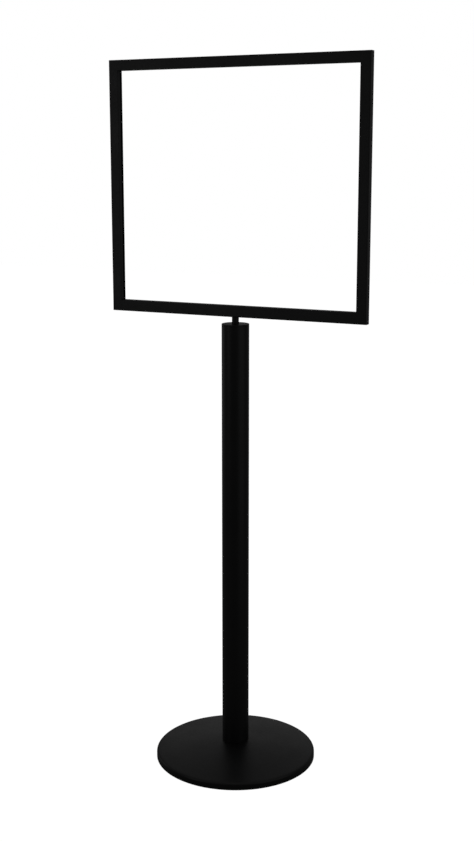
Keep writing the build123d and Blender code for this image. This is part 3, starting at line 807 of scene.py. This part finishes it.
class SIGNSTAND_OT_base_weight(bpy.types.Operator):
    """Cast the weight inside the cover, with its boss, ring groove and bolt recess"""

    bl_idname = "signstand.base_weight"
    bl_label = "Base weight"

    def execute(self, context):
        sizes = context.scene.stand_sizes
        low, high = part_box("base_weight")
        boss = top_radius("post_tube") + sizes.seat_margin - sizes.boss_margin
        disc_top = low.z + sizes.weight_thickness
        ring_outer = top_radius("floor_ring") + sizes.fit_gap
        ring_inner = ring_outer - sizes.ring_width - 2 * sizes.fit_gap
        groove_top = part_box("floor_ring")[1].z
        recess = top_radius("base_flat_washer") + sizes.washer_room
        recess_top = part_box("base_flat_washer")[1].z
        hole = sizes.bolt_diameter / 2 + sizes.bolt_hole_gap
        edge = sizes.cast_edge_radius
        weight = turned("base_weight_cast", [
            (hole, high.z, 0),
            (boss, high.z, edge),
            (boss, disc_top, sizes.boss_root),
            (high.x - sizes.weight_chamfer, disc_top, 0),
            (high.x, disc_top - sizes.weight_chamfer, 0),
            (high.x, low.z, edge),
            (ring_outer, low.z, edge / 2),
            (ring_outer, groove_top, 0),
            (ring_inner, groove_top, 0),
            (ring_inner, low.z, edge / 2),
            (recess, low.z, edge),
            (recess, recess_top, 0),
            (hole, recess_top, 0),
        ], sizes.round_steps)
        finish_piece(weight, "base_weight", "stand", "cast")
        return {"FINISHED"}


class SIGNSTAND_OT_floor_ring(bpy.types.Operator):
    """Turn the ribbed rubber ring that the base stands on"""

    bl_idname = "signstand.floor_ring"
    bl_label = "Floor ring"

    def execute(self, context):
        sizes = context.scene.stand_sizes
        low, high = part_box("floor_ring")
        outer = high.x
        inner = outer - sizes.ring_width
        rib_height = 0.8 * MM
        rib_count = 4
        rib_pitch = sizes.ring_width / (2 * rib_count - 1)
        underside = []
        for rib in range(rib_count):
            start = outer - 2 * rib * rib_pitch
            underside.append((start, low.z, 0.2 * MM))
            underside.append((start - rib_pitch, low.z, 0.2 * MM))
            if rib < rib_count - 1:
                underside.append((start - rib_pitch, low.z + rib_height, 0))
                underside.append((start - 2 * rib_pitch, low.z + rib_height, 0))
        ring = turned("rubber_floor_ring", [
            (inner, high.z, 0),
            (outer, high.z, 0),
            *underside,
        ], sizes.round_steps)
        finish_piece(ring, "floor_ring", "stand", "rubber")
        return {"FINISHED"}


class SIGNSTAND_OT_base_fastening(bpy.types.Operator):
    """Finish the bolt and the washers that hold the post down"""

    bl_idname = "signstand.base_fastening"
    bl_label = "Base fastening"

    def execute(self, context):
        sizes = context.scene.stand_sizes
        low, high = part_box("base_bolt")
        radius = sizes.bolt_diameter / 2
        head_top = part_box("base_lock_washer")[0].z
        plug_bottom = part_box("post_foot_plug")[0].z
        socket_corner = sizes.bolt_socket / math.sqrt(3)
        lead = 0.4 * MM
        tip = M12_THREAD[0]
        bolt = turned("base_bolt_low_head", [
            (0, low.z + lead, 0),
            (socket_corner - lead, low.z + lead, 0),
            (socket_corner + lead, low.z, 0),
            (high.x, low.z, 0.5 * MM),
            (high.x, head_top, 0.2 * MM),
            (radius, head_top, 0),
            (radius, plug_bottom, 0),
            *thread_rings(radius, M12_THREAD, plug_bottom, high.z - tip),
            (radius - tip, high.z, 0),
            (0, high.z, 0),
        ], sizes.small_steps)
        cut_socket(bolt, sizes.bolt_socket, low.z, sizes.bolt_socket_depth)
        finish_piece(bolt, "base_bolt", "stand", "oxide")
        hole = radius + sizes.bolt_hole_gap
        ring_piece("base_flat_washer", "base_flat_washer_blanked", hole, 0.25 * MM,
                   "zinc")
        split = softened("base_lock_washer_split", "base_lock_washer", 0.2 * MM)
        finish_piece(split, "base_lock_washer", "stand", "zinc")
        return {"FINISHED"}


class SIGNSTAND_OT_post(bpy.types.Operator):
    """Draw the post's tube and finish the plug in its foot"""

    bl_idname = "signstand.post"
    bl_label = "Post"

    def execute(self, context):
        sizes = context.scene.stand_sizes
        low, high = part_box("post_tube")
        bore = top_radius("post_foot_plug") + sizes.plug_gap
        edge = sizes.coat_edge_radius
        tube = turned("post_tube_drawn", [
            (bore, low.z, 0),
            (high.x, low.z, edge),
            (high.x, high.z, edge),
            (bore, high.z, 0),
        ], sizes.round_steps)
        finish_piece(tube, "post_tube", "stand", "coat")
        low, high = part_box("post_foot_plug")
        hole = sizes.bolt_diameter / 2 + sizes.plug_gap
        lead = 1.5 * MM
        plug = turned("post_foot_plug_turned", [
            (hole, low.z, 0.5 * MM),
            (high.x, low.z, 0.3 * MM),
            (high.x, high.z - lead, 0),
            (high.x - lead, high.z, 0),
            (hole, high.z, 0.5 * MM),
        ], sizes.small_steps)
        finish_piece(plug, "post_foot_plug", "stand", "steel")
        return {"FINISHED"}


class SIGNSTAND_OT_cap_and_swivel(bpy.types.Operator):
    """Finish the post's cap and what the stem turns on"""

    bl_idname = "signstand.cap_and_swivel"
    bl_label = "Cap and swivel"

    def execute(self, context):
        sizes = context.scene.stand_sizes
        turn_cap(sizes)
        turn_stem(sizes)
        shank = sizes.shank_diameter / 2
        ring_piece("swivel_bush", "swivel_bush_moulded", shank + RUNNING_ROOM, 0.3 * MM, "nylon")
        ring_piece("thrust_washer", "thrust_washer_moulded", shank + WASHER_ROOM, 0.2 * MM, "nylon")
        ring_piece("lock_nut_insert", "lock_nut_insert_moulded", shank + RUNNING_ROOM, 0.2 * MM,
                   "nylon", "sign_frame")
        ring_piece("backing_washer", "backing_washer_blanked", shank + WASHER_ROOM, 0.2 * MM,
                   "zinc", "sign_frame")
        for node, name, edge in (
            ("spring_washer", "spring_washer_dished", 0.15 * MM),
            ("stem_lock_nut", "stem_lock_nut_collared", 0.4 * MM),
        ):
            piece = softened(name, node, edge)
            finish_piece(piece, node, "sign_frame", "zinc")
        return {"FINISHED"}


class SIGNSTAND_OT_frame_rails(bpy.types.Operator):
    """Finish the four mitred rails of the sign frame"""

    bl_idname = "signstand.frame_rails"
    bl_label = "Frame rails"

    def execute(self, context):
        sizes = context.scene.stand_sizes
        for side in ("top", "bottom", "left", "right"):
            rail = softened(f"{side}_rail_mitred", f"frame_{side}_rail", sizes.rail_edge)
            finish_piece(rail, f"frame_{side}_rail", "sign_frame", "coat")
        return {"FINISHED"}


class SIGNSTAND_OT_frame_hardware(bpy.types.Operator):
    """Finish the keys, the screws and the plate inside the rails"""

    bl_idname = "signstand.frame_hardware"
    bl_label = "Frame hardware"

    def execute(self, context):
        sizes = context.scene.stand_sizes
        for corner in ("top_left", "top_right", "bottom_left", "bottom_right"):
            key = softened(f"key_{corner}", f"corner_key_{corner}", 0.5 * MM)
            finish_piece(key, f"corner_key_{corner}", "sign_frame", "zinc")
        plate = softened("nut_plate_sawn", "rail_nut_plate", 0.4 * MM)
        finish_piece(plate, "rail_nut_plate", "sign_frame", "steel")
        screws = drive_key_screws(sizes)
        finish_piece(screws, "corner_grub_screws", "sign_frame", "oxide")
        return {"FINISHED"}


class SIGNSTAND_OT_studio(bpy.types.Operator):
    """Set up the pale floor, the soft lights and the camera"""

    bl_idname = "signstand.studio"
    bl_label = "Studio"

    def execute(self, context):
        studio = context.scene.stand_studio
        lay_floor(studio)
        hang_backdrop(context.scene, studio)
        place_lights()
        place_camera(context.scene, studio)
        context.scene.view_settings.view_transform = "Standard"
        return {"FINISHED"}


def lay_floor(studio):
    """A wide pale floor, lit from within so that the stand's own shadow stays faint."""
    clear_selection()
    bpy.ops.mesh.primitive_plane_add(size=studio.floor_size)
    floor = bpy.context.object
    floor.name = "studio_floor"
    material = bpy.data.materials.new("pale_lit_floor")
    material.use_nodes = True
    tree = material.node_tree
    tree.nodes.clear()
    shader = add_node(tree, "ShaderNodeBsdfPrincipled", {
        "Base Color": linear(FLOOR_GREY), "Roughness": 0.9, "Specular IOR Level": 0.0,
        "Emission Color": studio.floor_colour, "Emission Strength": 1.0})
    finish_material(tree, shader)
    floor.data.materials.append(material)
    floor.visible_glossy = False
    floor.visible_diffuse = False


def hang_backdrop(scene, studio):
    """Plain white space to look at, and a dim soft surround, brighter overhead, to light the stand."""
    world = bpy.data.worlds.new("studio_surround")
    scene.world = world
    world.use_nodes = True
    tree = world.node_tree
    tree.nodes.clear()
    direction = add_node(tree, "ShaderNodeTexCoord").outputs["Generated"]
    height = add_node(tree, "ShaderNodeSeparateXYZ", links={"Vector": direction}).outputs["Z"]
    level = add_node(tree, "ShaderNodeValToRGB", links={
        "Fac": ramp(tree, height, -1.0, 1.0, 0.0, 1.0)})
    stops = level.color_ramp.elements
    for place, grey in SURROUND:
        stop = stops.new((place + 1) / 2)
        stop.color = (grey, grey, grey, 1)
    # The ramp starts with a stop at each end, which the surround's own stops take over from
    stops.remove(stops[-1])
    stops.remove(stops[0])
    surround = add_node(tree, "ShaderNodeBackground", {"Strength": 1.0}, {"Color": level.outputs["Color"]})
    backdrop = add_node(tree, "ShaderNodeBackground", {"Color": studio.backdrop_colour, "Strength": 1.0})
    seen = add_node(tree, "ShaderNodeLightPath").outputs["Is Camera Ray"]
    both = add_node(tree, "ShaderNodeMixShader", links={0: seen})
    tree.links.new(surround.outputs[0], both.inputs[1])
    tree.links.new(backdrop.outputs[0], both.inputs[2])
    add_node(tree, "ShaderNodeOutputWorld", links={"Surface": both.outputs[0]})


def place_lights():
    """Large soft panels round the stand, unseen by the camera itself."""
    for name, place, size, power in PANELS:
        light = bpy.data.lights.new(name, "AREA")
        light.shape = "SQUARE"
        light.size = size
        light.energy = power
        lamp = bpy.data.objects.new(name, light)
        bpy.context.scene.collection.objects.link(lamp)
        lamp.location = place
        lamp.visible_camera = False
        aim = Vector(PANEL_AIM) - Vector(place)
        lamp.rotation_euler = aim.to_track_quat("-Z", "Y").to_euler()


def place_camera(scene, studio):
    """The camera, in front of the stand and to its right, looking a little down."""
    camera = bpy.data.cameras.new("studio_camera")
    camera.lens = studio.lens
    holder = bpy.data.objects.new("studio_camera", camera)
    scene.collection.objects.link(holder)
    azimuth = studio.camera_azimuth
    holder.location = (
        studio.camera_distance * math.sin(azimuth),
        -studio.camera_distance * math.cos(azimuth),
        studio.camera_height,
    )
    holder.rotation_euler = (math.pi / 2 - studio.camera_pitch, 0, azimuth + studio.camera_swing)
    scene.camera = holder


OPERATORS = (
    SIGNSTAND_OT_materials,
    SIGNSTAND_OT_studio,
    SIGNSTAND_OT_base_cover,
    SIGNSTAND_OT_base_weight,
    SIGNSTAND_OT_floor_ring,
    SIGNSTAND_OT_base_fastening,
    SIGNSTAND_OT_post,
    SIGNSTAND_OT_cap_and_swivel,
    SIGNSTAND_OT_frame_rails,
    SIGNSTAND_OT_frame_hardware,
)


class SIGNSTAND_PT_sidebar(bpy.types.Panel):
    """Lists the stand's steps and what can be changed"""

    bl_label = "Sign stand"
    bl_space_type = "VIEW_3D"
    bl_region_type = "UI"
    bl_category = "Sign stand"

    def draw(self, context):
        for operator in OPERATORS:
            self.layout.operator(operator.bl_idname)
        for group in (context.scene.stand_sizes, context.scene.stand_finishes, context.scene.stand_studio):
            column = self.layout.column()
            for name in group.__annotations__:
                column.prop(group, name)


CLASSES = (StandSizes, StandFinishes, StandStudio, *OPERATORS, SIGNSTAND_PT_sidebar)


def register():
    for each in CLASSES:
        bpy.utils.register_class(each)
    bpy.types.Scene.stand_sizes = PointerProperty(type=StandSizes)
    bpy.types.Scene.stand_finishes = PointerProperty(type=StandFinishes)
    bpy.types.Scene.stand_studio = PointerProperty(type=StandStudio)


def unregister():
    del bpy.types.Scene.stand_studio
    del bpy.types.Scene.stand_finishes
    del bpy.types.Scene.stand_sizes
    for each in reversed(CLASSES):
        bpy.utils.unregister_class(each)


def main():
    register()
    for operator in OPERATORS:
        group, action = operator.bl_idname.split(".")
        getattr(getattr(bpy.ops, group), action)()
    clear_selection()


if __name__ == "__main__":
    main()
